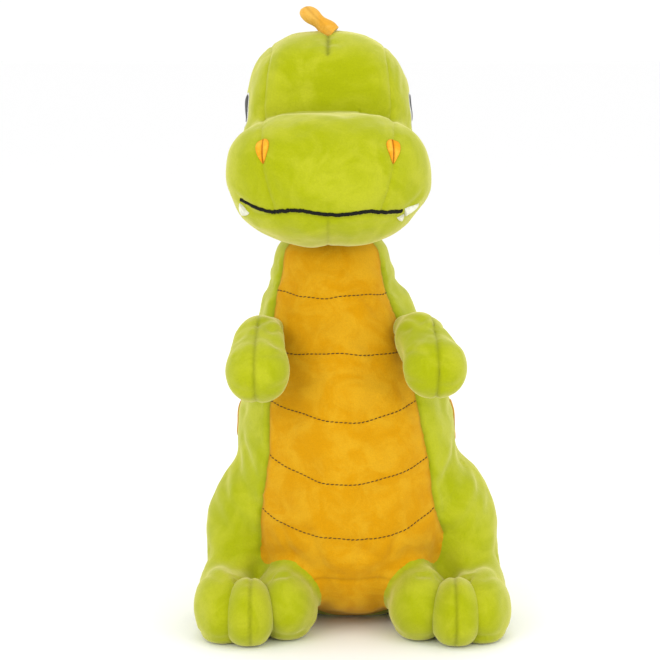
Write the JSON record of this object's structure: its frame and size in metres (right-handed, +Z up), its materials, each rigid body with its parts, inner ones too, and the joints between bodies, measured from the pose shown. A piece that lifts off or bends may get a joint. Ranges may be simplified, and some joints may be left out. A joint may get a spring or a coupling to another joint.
{
  "type": "stuffed dinosaur",
  "caption": "Standing stuffed dinosaur in lime-green short-pile plush with an orange belly, a stitched mouth, stubby arms, a tail and back spikes.",
  "frame": {"origin": "on the floor, under the middle of the toy's outer box", "axes": "+Z up, the toy faces -Y, its own left side is +X"},
  "size_m": [0.2356, 0.2884, 0.4607],
  "materials": {
    "green_plush": "short-pile plush",
    "belly_plush": "short-pile plush",
    "orange_plush": "short-pile plush",
    "belly_thread": "stitched thread",
    "mouth_thread": "satin-stitched thread",
    "nostril_felt": "short-pile plush",
    "eye_white": "satin-stitched thread",
    "eye_black": "satin-stitched thread",
    "tooth_felt": "felt",
    "stuffing": "polyester fibrefill"
  },
  "bodies": {
    "torso": {"torso_stuffing": "stuffing", "belly_panel": "belly_plush", "left_side_panel": "green_plush", "right_side_panel": "green_plush", "base_panel": "belly_plush", "belly_stitching": "belly_thread", "left_flank_spot": "orange_plush", "right_flank_spot": "orange_plush", "left_thigh_panel": "green_plush", "left_thigh_stuffing": "stuffing", "left_foot_panel": "green_plush", "left_foot_stuffing": "stuffing", "left_sole": "green_plush", "left_inner_toe": "green_plush", "left_middle_toe": "green_plush", "left_outer_toe": "green_plush", "right_thigh_panel": "green_plush", "right_thigh_stuffing": "stuffing", "right_foot_panel": "green_plush", "right_foot_stuffing": "stuffing", "right_sole": "green_plush", "right_inner_toe": "green_plush", "right_middle_toe": "green_plush", "right_outer_toe": "green_plush", "tail_root_panel": "green_plush", "tail_root_stuffing": "stuffing", "back_spike_1": "orange_plush", "back_spike_2": "orange_plush", "back_spike_3": "orange_plush", "back_spike_4": "orange_plush"},
    "head": {"head_stuffing": "stuffing", "forehead_gusset": "green_plush", "muzzle_gusset": "green_plush", "left_cheek_panel": "green_plush", "right_cheek_panel": "green_plush", "left_chin_panel": "green_plush", "right_chin_panel": "green_plush", "mouth_line": "mouth_thread", "left_nostril": "nostril_felt", "right_nostril": "nostril_felt", "left_eye": "eye_white", "right_eye": "eye_white", "left_pupil": "eye_black", "right_pupil": "eye_black", "left_tooth": "tooth_felt", "left_upper_tooth": "tooth_felt", "right_tooth": "tooth_felt", "rear_crest_spike": "orange_plush"},
    "crest": {"front_crest_spike": "orange_plush"},
    "left_arm": {"left_arm_outer_panel": "green_plush", "left_arm_inner_panel": "green_plush", "left_arm_stuffing": "stuffing"},
    "right_arm": {"right_arm_outer_panel": "green_plush", "right_arm_inner_panel": "green_plush", "right_arm_stuffing": "stuffing"},
    "tail": {"left_tail_panel": "green_plush", "right_tail_panel": "green_plush", "tail_stuffing": "stuffing", "tail_spike_1": "orange_plush", "tail_spike_2": "orange_plush"}
  },
  "joints": [
    {"name": "neck_nod", "type": "hinge", "parent": "torso", "child": "head", "pos_m": [-0.015, -0.035, 0.256], "axis": [1, 0, 0], "range_deg": [-10, 12], "stiffness_Nm_per_rad": 2},
    {"name": "left_shoulder", "type": "hinge", "parent": "torso", "child": "left_arm", "pos_m": [0.04689, -0.08119, 0.22468], "axis": [1, 0, 0], "range_deg": [-35, 10], "stiffness_Nm_per_rad": 0.1},
    {"name": "right_shoulder", "type": "hinge", "parent": "torso", "child": "right_arm", "pos_m": [-0.06747, -0.08171, 0.2227], "axis": [1, 0, 0], "range_deg": [-35, 10], "stiffness_Nm_per_rad": 0.1},
    {"name": "tail_wag", "type": "hinge", "parent": "torso", "child": "tail", "pos_m": [0, 0.063, 0.036], "axis": [0, 0, 1], "range_deg": [-18, 18], "stiffness_Nm_per_rad": 0.2},
    {"name": "crest_flop", "type": "hinge", "parent": "head", "child": "crest", "pos_m": [-0.018, -0.045, 0.44452], "axis": [0, 1, 0], "range_deg": [-10, 70], "stiffness_Nm_per_rad": 0.02}
  ]
}
